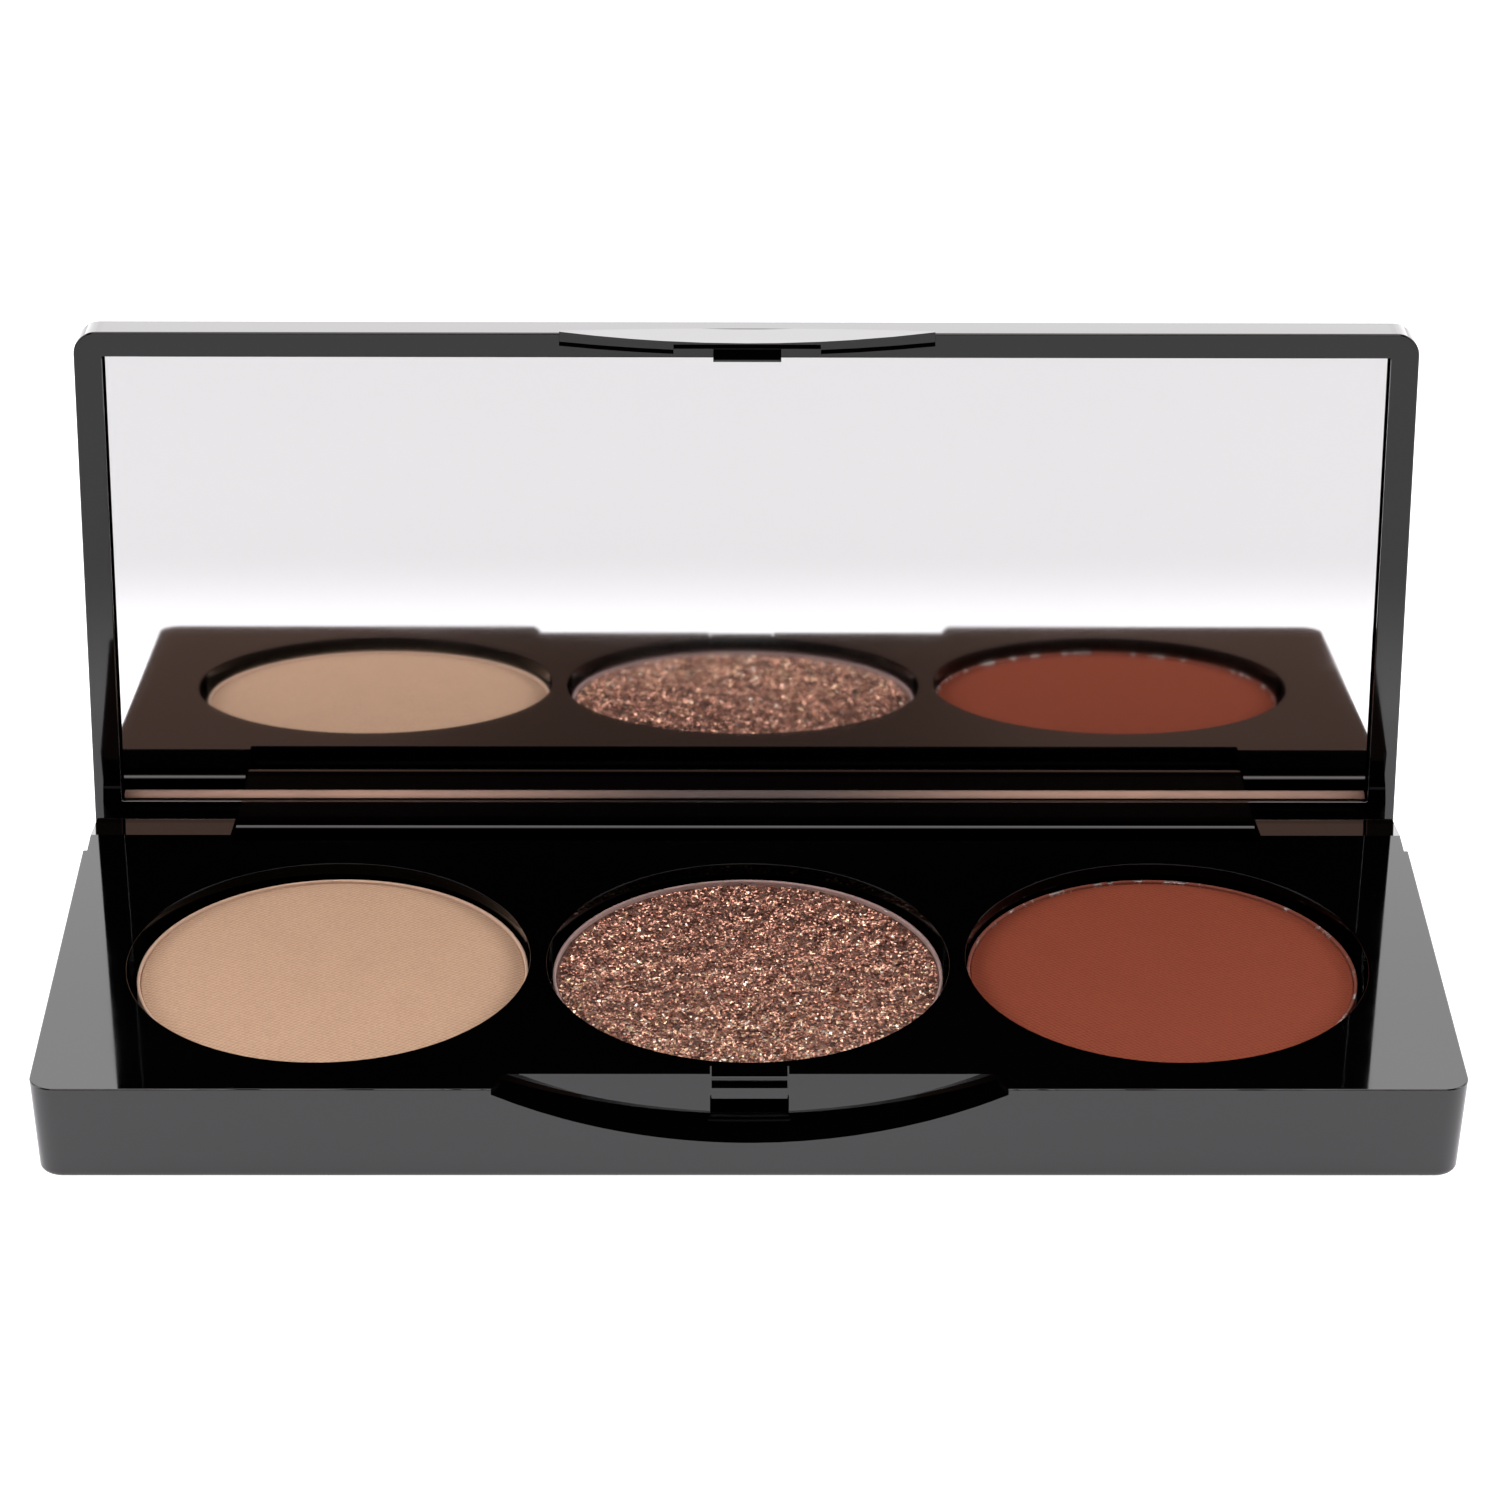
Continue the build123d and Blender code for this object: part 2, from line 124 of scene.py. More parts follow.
class Finish:
    """A node tree being built, of a material or of the world."""

    def __init__(self, owner):
        owner.use_nodes = True
        self.tree = owner.node_tree
        self.tree.nodes.clear()
        self._place = None

    def node(self, kind, settings=None, values=None, output=0):
        """Adds a node, sets its settings first and its sockets second, and gives one of its outputs."""
        made = self.tree.nodes.new(kind)
        for name, setting in (settings or {}).items():
            if name == "stops":
                self._stops(made.color_ramp, setting)
            else:
                setattr(made, name, setting)
        for name, value in (values or {}).items():
            socket = made.inputs[name]
            if isinstance(value, Wire):
                self.tree.links.new(value.socket, socket)
            else:
                socket.default_value = value
        return Wire(self, made.outputs[output]) if made.outputs else made

    @staticmethod
    def _stops(ramp, stops):
        """Fills a colour ramp: a list of (place, colour)."""
        while len(ramp.elements) < len(stops):
            ramp.elements.new(1.0)
        for element, (place, colour) in zip(ramp.elements, stops):
            element.position = place
            element.color = (*colour, 1.0)

    def place(self):
        """The point on the piece, in metres."""
        if self._place is None:
            self._place = self.node("ShaderNodeTexCoord", output="Object")
        return self._place

    def moved(self, offset=(0, 0, 0), turn=(0, 0, 0), stretch=(1, 1, 1)):
        """The point after a shift, a turn and a stretch."""
        values = {"Vector": self.place(), "Location": offset, "Rotation": turn, "Scale": stretch}
        return self.node("ShaderNodeMapping", {"vector_type": "POINT"}, values)

    def noise(self, size, detail=2.0, roughness=0.5, at=None):
        """Smooth noise with features of this size in metres, around a half."""
        values = {"Vector": at or self.place(), "Scale": 1 / size, "Detail": detail, "Roughness": roughness}
        return self.node("ShaderNodeTexNoise", {"noise_dimensions": "3D"}, values)

    def cells(self, size):
        """Distance to the nearest point of a Voronoi scatter with cells of this size in metres."""
        values = {"Vector": self.place(), "Scale": 1 / size}
        return self.node("ShaderNodeTexVoronoi", {"feature": "F1"}, values, "Distance")

    def axis(self, name):
        """One coordinate of the point on the piece, in metres."""
        return self.node("ShaderNodeSeparateXYZ", None, {"Vector": self.place()}, name)

    def mix(self, amount, low, high):
        """A colour between low and high."""
        settings = {"data_type": "RGBA", "clamp_factor": True}
        return self.node("ShaderNodeMix", settings, {0: amount, 6: colour(low), 7: colour(high)}, 2)

    def bump(self, height, depth, strength=1.0, onto=None):
        """A normal from a height between 0 and 1 that stands for this depth in metres."""
        values = {"Height": height, "Distance": depth, "Strength": strength}
        if onto is not None:
            values["Normal"] = onto
        return self.node("ShaderNodeBump", None, values)

    def surface(self, **values):
        """The Principled shader, wired to the output. Underscores stand for spaces in socket names."""
        named = {name.replace("_", " "): value for name, value in values.items()}
        shader = self.node("ShaderNodeBsdfPrincipled", {"distribution": "MULTI_GGX"}, named)
        self.node("ShaderNodeOutputMaterial", None, {"Surface": shader})
        return shader


def colour(value):
    """A colour as Blender's sockets take it, or a Wire as it is."""
    return value if isinstance(value, Wire) else (*value[:3], 1.0)


def new_finish(name):
    """A material and the tree to build it in."""
    material = bpy.data.materials.new(name)
    return material, Finish(material)


def wear(nodes, material):
    """Gives CAD nodes their material."""
    for name in nodes:
        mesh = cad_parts[name].data
        mesh.materials.clear()
        mesh.materials.append(material)


# ---------------------------------------------------------------- mesh helpers
def new_piece(name, points, faces, material, body, smooth=True):
    """Makes a mesh object from arrays and hangs it on its body."""
    mesh = bpy.data.meshes.new(name)
    mesh.from_pydata(points.tolist(), [], faces.tolist() if hasattr(faces, "tolist") else faces)
    mesh.polygons.foreach_set("use_smooth", np.full(len(mesh.polygons), smooth))
    mesh.validate()
    mesh.materials.append(material)
    piece = bpy.data.objects.new(name, mesh)
    bpy.context.scene.collection.objects.link(piece)
    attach(piece, body)
    return piece


def turned_surface(radii, heights, segments, centre, lift=None):
    """Carries a profile of radii and heights round an upright axis, closed at both poles.

    Point (i, j) is at radius r_i and angle 2 pi j / segments, at height h_i plus lift(r_i, angle_j) where
    lift is given. The first and last profile points lie on the axis and become single poles.
    """
    angles = np.arange(segments) * TAU / segments
    r, a = np.meshgrid(radii[1:-1], angles, indexing="ij")
    h = np.repeat(heights[1:-1, None], segments, axis=1)
    if lift is not None:
        h = h + lift(r, a)
    ring = np.stack([centre[0] + r * np.cos(a), centre[1] + r * np.sin(a), h], axis=-1)
    ends = np.array([[centre[0], centre[1], heights[0]], [centre[0], centre[1], heights[-1]]])
    points = np.concatenate([ring.reshape(-1, 3), ends])
    rows = len(radii) - 2
    index = np.arange(rows * segments).reshape(rows, segments)
    after = np.roll(index, -1, axis=1)
    quads = np.stack([index[:-1], after[:-1], after[1:], index[1:]], axis=-1).reshape(-1, 4)
    first, last = rows * segments, rows * segments + 1
    start_cap = np.stack([np.full(segments, first), after[0], index[0]], axis=-1)
    end_cap = np.stack([np.full(segments, last), index[-1], after[-1]], axis=-1)
    return points, quads.tolist() + start_cap.tolist() + end_cap.tolist()


def ripple(rng, x, y, sizes, count=5):
    """Uneven height field: the mean of plane sine waves of random direction and phase for each size."""
    total = np.zeros_like(x)
    for size in sizes:
        for turn, phase in zip(rng.uniform(0, TAU, count), rng.uniform(0, TAU, count)):
            total += np.sin(TAU / size * (x * np.cos(turn) + y * np.sin(turn)) + phase) / count
    return total / len(sizes)


# ---------------------------------------------------------------- settings
class PlasticSettings(bpy.types.PropertyGroup):
    """The black moulded plastic of the case and lid."""

    tint: FloatVectorProperty(
        name="Tint",
        description="Body colour of the black plastic",
        subtype="COLOR",
        size=3,
        min=0,
        max=1,
        default=(0.0003, 0.0003, 0.0004),
    )
    gloss: FloatProperty(
        name="Roughness",
        description="Roughness of the polished faces",
        default=0.035,
        min=0,
        max=1,
    )
    refraction: FloatProperty(
        name="Refractive index",
        description="Sets how much the gloss reflects",
        default=1.6,
        min=1,
        max=2,
    )
    dust: FloatProperty(
        name="Dust",
        description="Share of dust specks that show on the plastic",
        default=0.5,
        min=0,
        max=1,
    )
    dish: FloatProperty(
        name="Frame dish",
        description="How far the lid's side frame sinks towards the mirror",
        unit="LENGTH",
        default=0.092 * MM,
        min=0,
        max=1 * MM,
        precision=5,
    )


class PowderSettings(bpy.types.PropertyGroup):
    """The three pressed powders."""

    beige: FloatVectorProperty(
        name="Beige",
        description="Colour of the left powder",
        subtype="COLOR",
        size=3,
        min=0,
        max=1,
        default=(0.465, 0.298, 0.2),
    )
    terracotta: FloatVectorProperty(
        name="Terracotta",
        description="Colour of the right powder",
        subtype="COLOR",
        size=3,
        min=0,
        max=1,
        default=(0.199, 0.0447, 0.0232),
    )
    cloth_pitch: FloatProperty(
        name="Cloth pitch",
        description="Distance between the threads of the pressing cloth's imprint",
        unit="LENGTH",
        default=0.5 * MM,
        min=0.1 * MM,
        max=2 * MM,
        precision=5,
    )
    hollow: FloatProperty(
        name="Edge hollow",
        description="How far the powder dips beside the pan's rim",
        unit="LENGTH",
        default=0.18 * MM,
        min=0,
        max=1 * MM,
        precision=5,
    )
    flakes: IntProperty(
        name="Glitter flakes",
        description="Number of flakes in the middle pan",
        default=23000,
        min=0,
        max=40000,
    )
    flake_size: FloatProperty(
        name="Flake size",
        description="Largest width of a glitter flake",
        unit="LENGTH",
        default=0.31 * MM,
        min=0.05 * MM,
        max=1 * MM,
        precision=5,
    )
    seed: IntProperty(name="Seed", description="Starting number of the scatter", default=7, min=0)


class StudioSettings(bpy.types.PropertyGroup):
    """Floor, light and camera."""

    floor_tone: FloatVectorProperty(
        name="Floor",
        description="Colour of the floor",
        subtype="COLOR",
        size=3,
        min=0,
        max=1,
        default=(0.5, 0.5, 0.505),
    )
    # painted light: the floor itself glows, brighter round the palette than far ahead of it
    floor_glow: FloatProperty(
        name="Floor glow",
        description="Light that comes through the translucent floor",
        default=1.08,
        min=0,
        max=5,
    )
    back_light: FloatProperty(
        name="Back light",
        description="Brightness of the wall behind, near the horizon",
        default=3.27,
        min=0,
        max=20,
    )
    front_light: FloatProperty(
        name="Front light",
        description="Brightness of the dim room in front",
        default=0.4,
        min=0,
        max=20,
    )
    overhead_light: FloatProperty(
        name="Overhead light",
        description="Brightness of the high softbox in front",
        default=14.0,
        min=0,
        max=100,
    )
    side_light: FloatProperty(
        name="Side lights",
        description="Power of each side softbox in watts",
        default=2.5,
        min=0,
        max=100,
    )
    camera_place: FloatVectorProperty(
        name="Camera",
        description="Where the camera stands",
        subtype="XYZ",
        size=3,
        unit="LENGTH",
        default=(-2.90 * MM, -294.43 * MM, 170.91 * MM),
    )
    pitch: FloatProperty(
        name="Pitch",
        description="How far the camera looks down",
        subtype="ANGLE",
        default=math.radians(27.014),
    )
    yaw: FloatProperty(
        name="Yaw",
        description="How far the camera turns to the right",
        subtype="ANGLE",
        default=math.radians(0.583),
    )
    roll: FloatProperty(
        name="Roll",
        description="How far the camera tips anticlockwise",
        subtype="ANGLE",
        default=math.radians(0.315),
    )
    lens: FloatProperty(
        name="Lens",
        description="Focal length in millimetres",
        default=119.4,
        min=10,
        max=500,
    )


# ---------------------------------------------------------------- finishes
def black_plastic(name, settings, dish=0.0):
    """Polished black plastic with faint flow marks, fine wipe marks in the gloss and a few dust specks.

    dish is how far the frame at the sides of the lid sinks towards its window, in metres. In the pans' wells
    and on the hinge's barrel the black turns metallic, a painted shade that takes away most of what a black
    gloss reflects.
    """
    material, f = new_finish(name)
    across = f.axis("X")
    sideways = across.math("ABSOLUTE", across)
    near = sideways.math("MINIMUM", sideways, sideways.math("ABSOLUTE", sideways - WELL_PITCH))
    deep = across.out("Y") - WELL_Y
    well = (near * near + deep * deep) ** 0.5
    # painted shade: metallic black in the wells reflects almost nothing
    well = well.ramp(WELL_RADIUS + 0.1 * MM, WELL_RADIUS + 0.14 * MM, 0.95, 0.0)
    back, rise = across.out("Y") - HINGE_Y, across.out("Z") - HINGE_Z
    barrel = (rise * rise + back * back) ** 0.5
    # painted shade: metallic black on the barrel reflects almost nothing
    barrel = barrel.ramp(BARREL_RADIUS + 0.08 * MM, BARREL_RADIUS + 0.16 * MM, 0.985, 0.0)
    wipes = f.noise(9 * MM, 4.0, 0.6, f.moved(stretch=(0.35, 1.0, 1.0)))
    flow = f.noise(14 * MM, 1.0)
    dust_cell = f.cells(1.7 * MM)
    rare = f.noise(5 * MM, 2.0).ramp(0.55, 0.75)
    speck = dust_cell.ramp(0.018, 0.04, 1.0, 0.0) * rare * settings.dust
    tint = f.mix(flow, tuple(settings.tint), tuple(1.6 * c for c in settings.tint))
    normal = f.bump(flow, 0.012 * MM, 0.15)
    if dish:
        outwards = (sideways - WINDOW_HALF) * (1 / FRAME_WIDTH)
        normal = f.bump(outwards.math("MAXIMUM", outwards, 0.0), dish, 1.0, normal)
    f.surface(
        Base_Color=f.mix(speck * 0.5, tint, (0.32, 0.31, 0.30)),
        Roughness=wipes.ramp(0.3, 0.8, settings.gloss * 0.6, settings.gloss * 1.5) + speck * 0.5,
        Metallic=barrel if dish else barrel.math("MAXIMUM", barrel, well),
        IOR=settings.refraction,
        Normal=normal,
    )
    return material


def pressed_powder(name, base, cloth_pitch, turn):
    """Matte powder: fine grain, a mottled tone and the dotted imprint of the pressing cloth."""
    material, f = new_finish(name)
    laid = f.moved(turn=(0, 0, turn))
    split = f.node("ShaderNodeSeparateXYZ", None, {"Vector": laid}, "X")
    across = (split * (TAU / cloth_pitch)).math("SINE", split * (TAU / cloth_pitch))
    along = split.out("Y") * (TAU / (cloth_pitch * 0.72))
    along = along.math("SINE", along)
    weave = across * along
    patchy = f.noise(3.2 * MM, 3.0, 0.6)
    grain = f.noise(0.15 * MM, 3.0, 0.7)
    pits = f.cells(0.75 * MM).ramp(0.05, 0.13, 1.0, 0.0) * f.noise(1.1 * MM).ramp(0.5, 0.65)
    # painted shade: the pits and the cloth imprint's troughs are darker in colour and its ridges lighter,
    # besides their bumps
    tone = grain * 0.85 + patchy * 0.12 + weave * 0.22 - pits * 0.3
    dark = tuple(c * 0.78 for c in base)
    light = tuple(min(1.0, c * 1.2) for c in base)
    height = grain * 0.8 + weave * 0.45 + patchy * 0.08 - pits * 0.4
    f.surface(
        Base_Color=f.mix(tone.ramp(0.1, 0.8), dark, light),
        Roughness=grain.ramp(0.2, 0.8, 0.86, 1.0),
        Specular_IOR_Level=0.08,
        Normal=f.bump(height, 0.05 * MM, 0.4),
    )
    return material


def pan_metal(name, dust, cover):
    """Pressed aluminium, with powder smeared over its rim. cover is the share of the rim that is dusty."""
    material, f = new_finish(name)
    brushed = f.noise(0.6 * MM, 3.0, 0.6, f.moved(stretch=(1.0, 1.0, 6.0)))
    smear = f.noise(1.4 * MM, 4.0, 0.65).ramp(0.28 + 0.44 * cover, 0.36 + 0.44 * cover, 1.0, 0.0)
    grain = f.noise(0.12 * MM, 2.0)
    metal = f.mix(brushed, (0.34, 0.30, 0.285), (0.48, 0.435, 0.41))
    f.surface(
        Base_Color=f.mix(smear, metal, f.mix(grain, tuple(c * 0.75 for c in dust), dust)),
        Metallic=1 - smear,
        Roughness=brushed.ramp(0.2, 0.8, 0.28, 0.45) + smear * 0.5,
        Normal=f.bump(grain * smear + brushed * 0.2, 0.03 * MM, 0.4),
    )
    return material


def mirror_silver():
    """Silvered glass with the faintest haze of handling."""
    material, f = new_finish("mirror_glass")
    haze = f.noise(16 * MM, 4.0, 0.55)
    streak = f.noise(5 * MM, 3.0, 0.6, f.moved(stretch=(0.25, 1.0, 1.0)))
    f.surface(
        Base_Color=f.mix(haze, (0.835, 0.838, 0.848), (0.852, 0.853, 0.860)),
        Metallic=1.0,
        Roughness=streak.ramp(0.4, 0.9, 0.035, 0.055),
    )
    return material


def bead_painted_reflection_finish():
    """Frosted bead with a painted reflection of the pans: palest in front of the outer pans, grey in the
    middle.
    """
    material, f = new_finish("mirror_bead")
    x = f.axis("X")
    away = x.math("ABSOLUTE", x)
    cloudy = f.noise(7 * MM, 2.0)
    # painted reflection: pale and warm where the outer pans would show in the bead, grey in front of the
    # middle one
    pale = away.ramp(2 * MM, 27 * MM) * away.ramp(30 * MM, 46 * MM, 1.0, 0.7)
    pale = pale * cloudy.ramp(0.2, 0.6, 0.75, 1.0)
    f.surface(
        Base_Color=f.mix(pale, (0.08, 0.055, 0.05), (0.42, 0.255, 0.19)),
        Roughness=cloudy.ramp(0.2, 0.8, 0.5, 0.7),
    )
    return material


def glitter_finish():
    """Metal flakes whose tint runs from brown through bronze and rose to gold, one tint for each flake."""
    material, f = new_finish("bronze_glitter")
    source = {"attribute_type": "GEOMETRY", "attribute_name": "tint"}
    shade = f.node("ShaderNodeAttribute", source, None, "Fac")
    stops = [
        (0.0, (0.10, 0.038, 0.026)),
        (0.25, (0.34, 0.145, 0.10)),
        (0.5, (0.66, 0.325, 0.235)),
        (0.75, (0.95, 0.55, 0.40)),
        (0.9, (1.0, 0.72, 0.42)),
        (1.0, (1.0, 0.88, 0.76)),
    ]
    tone = f.node("ShaderNodeValToRGB", {"stops": stops}, {"Fac": shade}, "Color")
    grain = f.noise(0.1 * MM, 2.0)
    f.surface(
        Base_Color=tone,
        Metallic=grain.ramp(0.2, 0.8, 0.72, 0.95),
        Roughness=grain.ramp(0.2, 0.8, 0.24, 0.42),
    )
    return material


def binder_finish():
    """Dark brown creamy powder between the flakes."""
    material, f = new_finish("bronze_binder")
    clump = f.noise(0.9 * MM, 4.0, 0.65)
    grain = f.cells(0.16 * MM)
    f.surface(
        Base_Color=f.mix(clump.ramp(0.3, 0.7), (0.06, 0.026, 0.018), (0.26, 0.13, 0.095)),
        Metallic=grain.ramp(0.1, 0.6, 0.5, 0.2),
        Roughness=clump.ramp(0.2, 0.8, 0.45, 0.7),
        Normal=f.bump(clump * 0.5 + grain * 0.5, 0.12 * MM, 0.7),
    )
    return material


def simple_finish(name, low, high, size, roughness, **more):
    """A mottled finish for pieces that are mostly hidden."""
    material, f = new_finish(name)
    mottle = f.noise(size, 3.0, 0.6)
    f.surface(
        Base_Color=f.mix(mottle, low, high),
        Roughness=mottle.ramp(0.2, 0.8, roughness * 0.85, min(1.0, roughness * 1.15)),
        Normal=f.bump(mottle, size * 0.05, 0.3),
        **more,
    )
    return material


# ---------------------------------------------------------------- operators
class PALETTE_OT_plastic(bpy.types.Operator):
    """Gives the case, its cover and the lid their polished black plastic."""

    bl_idname = "palette.plastic"
    bl_label = "Black plastic"

    def execute(self, context):
        settings = context.scene.palette_plastic
        wear(["case_body", "underside_cover"], black_plastic("black_gloss_plastic", settings))
        wear(["lid_shell"], black_plastic("black_lid_plastic", settings, settings.dish))
        return {"FINISHED"}


class PALETTE_OT_metal(bpy.types.Operator):
    """Gives the pans and hinge pins their metal."""

    bl_idname = "palette.metal"
    bl_label = "Pans and pins"

    def execute(self, context):
        powders = context.scene.palette_powders
        wear(["pan_left"], pan_metal("pan_metal_beige", tuple(c * 1.2 + 0.08 for c in powders.beige), 0.85))
        wear(["pan_middle"], pan_metal("pan_metal_bronze", (0.40, 0.27, 0.25), 0.7))
        wear(["pan_right"], pan_metal("pan_metal_terracotta", tuple(powders.terracotta), 0.55))
        dark, light = (0.45, 0.45, 0.46), (0.62, 0.62, 0.63)
        pins = simple_finish("pin_steel", dark, light, 0.5 * MM, 0.25, Metallic=1.0)
        wear(["hinge_pin_left", "hinge_pin_right"], pins)
        return {"FINISHED"}


class PALETTE_OT_mirror(bpy.types.Operator):
    """Silvers the mirror and lays the frosted bead, coloured with a painted reflection of the pans, along its
    lower edge.

    The bead's section is a quarter ellipse, u = BEAD_UP + BEAD_TALL cos t and
    v = BEAD_OUT + BEAD_DEEP sin t, where u runs up the lid from the hinge and v comes out of its face.
    """

    bl_idname = "palette.mirror"
    bl_label = "Mirror"

    def execute(self, context):
        wear(["mirror"], mirror_silver())
        turn = np.linspace(0, math.pi / 2, 13)
        u = np.append(BEAD_UP + BEAD_TALL * np.cos(turn), BEAD_UP)
        v = np.append(BEAD_OUT + BEAD_DEEP * np.sin(turn), BEAD_OUT)
        y = HINGE_Y + u * math.sin(LEAN) - v * math.cos(LEAN)
        z = HINGE_Z + u * math.cos(LEAN) + v * math.sin(LEAN)
        rows = np.linspace(-BEAD_HALF, BEAD_HALF, 60)
        points = np.stack(np.broadcast_arrays(rows[:, None], y[None, :], z[None, :]), axis=-1)
        index = np.arange(points.size // 3).reshape(len(rows), len(u))
        after = np.roll(index, -1, axis=1)
        quads = np.stack([index[:-1], index[1:], after[1:], after[:-1]], axis=-1).reshape(-1, 4)
        faces = quads.tolist() + [index[0].tolist(), index[-1][::-1].tolist()]
        new_piece("mirror_bead", points.reshape(-1, 3), faces, bead_painted_reflection_finish(), "lid")
        return {"FINISHED"}


class PALETTE_OT_hidden(bpy.types.Operator):
    """Finishes the label, the glue and the adhesive sheet."""

    bl_idname = "palette.hidden"
    bl_label = "Label and adhesives"

    def execute(self, context):
        label = simple_finish("label_paper", (0.62, 0.62, 0.63), (0.70, 0.70, 0.71), 0.4 * MM, 0.6)
        glue = simple_finish("clear_glue", (0.66, 0.62, 0.5), (0.76, 0.73, 0.62), 2 * MM, 0.3)
        sheet = simple_finish("adhesive_sheet", (0.72, 0.7, 0.64), (0.8, 0.78, 0.73), 1 * MM, 0.7)
        wear(["underside_label"], label)
        wear(["glue_dot_left", "glue_dot_middle", "glue_dot_right"], glue)
        wear(["mirror_adhesive"], sheet)
        return {"FINISHED"}


class PALETTE_OT_matte_powders(bpy.types.Operator):
    """Presses the beige and terracotta powders into their pans.

    Each is a turned surface: flat underneath, straight up the pan's wall, a small rounded lip, a hollow that
    the punch leaves beside the rim, and a slightly crowned face with long shallow waves.
    """

    bl_idname = "palette.matte_powders"
    bl_label = "Matte powders"

    def execute(self, context):
        settings = context.scene.palette_powders
        looks = {
            "left": ("beige_powder", settings.beige, math.radians(-9)),
            "right": ("terracotta_powder", settings.terracotta, math.radians(14)),
        }
        for number, (name, (slot, base, turn)) in enumerate(looks.items()):
            rng = np.random.default_rng(settings.seed + number)
            low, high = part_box(f"powder_{name}")
            centre, radius = (low + high) / 2, (high.x - low.x) / 2
            points, faces = self.form(rng, centre, radius, low.z, high.z, settings.hollow)
            material = pressed_powder(slot, tuple(base), settings.cloth_pitch, turn)
            piece = new_piece(f"pressed_{name}", points, faces, material, "case")
            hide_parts(f"powder_{name}")
        return {"FINISHED"}

    @staticmethod
    def form(rng, centre, radius, bottom, top, hollow):
        """Closed powder cake. Height falls by hollow * exp(-((R - r) / 0.9 mm)^2) beside the rim."""
        lip = 0.12 * MM
        face_r = np.linspace(radius - lip, 0, 90)
        face_h = top - hollow * np.exp(-(((radius - face_r) / (0.9 * MM)) ** 2))
        bend = np.linspace(0, math.pi / 2, 6)[:-1]
        edge = face_h[0]
        wall_r = radius - lip * (1 - np.cos(bend))
        wall_h = edge - lip + lip * np.sin(bend)
        radii = np.concatenate([[0, radius * 0.5, radius], wall_r, face_r])
        heights = np.concatenate([[bottom, bottom, bottom], wall_h, face_h])

        def lift(r, a):
            """Shallow waves on the face only, none at the rim."""
            x, y = r * np.cos(a), r * np.sin(a)
            on_face = np.zeros_like(r)
            on_face[7:] = 1.0
            calm = np.clip((radius - r) / (0.8 * MM), 0, 1)
            crumbs = ripple(rng, x, y, (1.1 * MM, 0.6 * MM)) * 0.03 * MM * (1 - calm)
            return on_face * (ripple(rng, x, y, (9 * MM, 5 * MM)) * 0.012 * MM * calm + crumbs)

        return turned_surface(radii, heights, 360, centre, lift)


